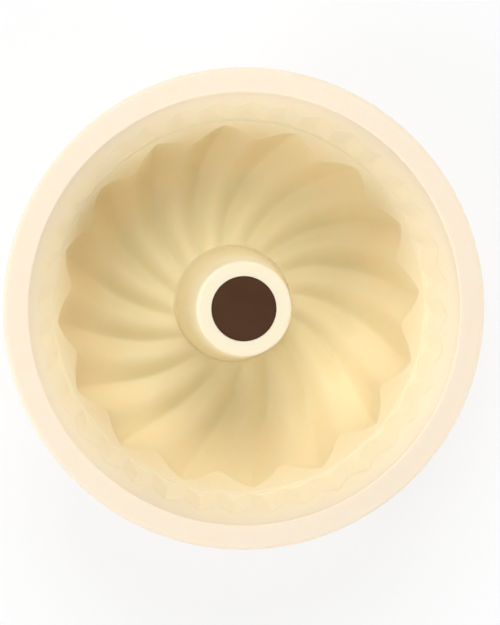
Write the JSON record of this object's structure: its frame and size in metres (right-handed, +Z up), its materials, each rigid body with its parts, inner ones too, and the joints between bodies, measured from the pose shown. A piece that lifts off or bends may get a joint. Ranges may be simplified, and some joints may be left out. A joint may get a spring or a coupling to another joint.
{
  "type": "brioche mould",
  "caption": "Round silicone brioche mould with a flat stiffened rim, a faceted band, swirling flutes and a centre tube closed by a lift-out plug.",
  "frame": {"origin": "centre of the plane that the mould stands on", "axes": "+Z up through the centre tube, out of the mould's mouth; +X to the right and +Y to the top of the picture"},
  "size_m": [0.24, 0.24, 0.094],
  "materials": {
    "cream_silicone": "satin",
    "hoop_steel": "drawn wire",
    "brown_silicone": "satin"
  },
  "bodies": {
    "mould": {"mould_body": "cream_silicone", "rim_hoop": "hoop_steel"},
    "plug": {"tube_plug": "brown_silicone"}
  },
  "joints": [
    {"name": "plug_lift", "type": "slide", "parent": "mould", "child": "plug", "axis": [0, 0, 1], "range_m": [0, 0.06]}
  ]
}
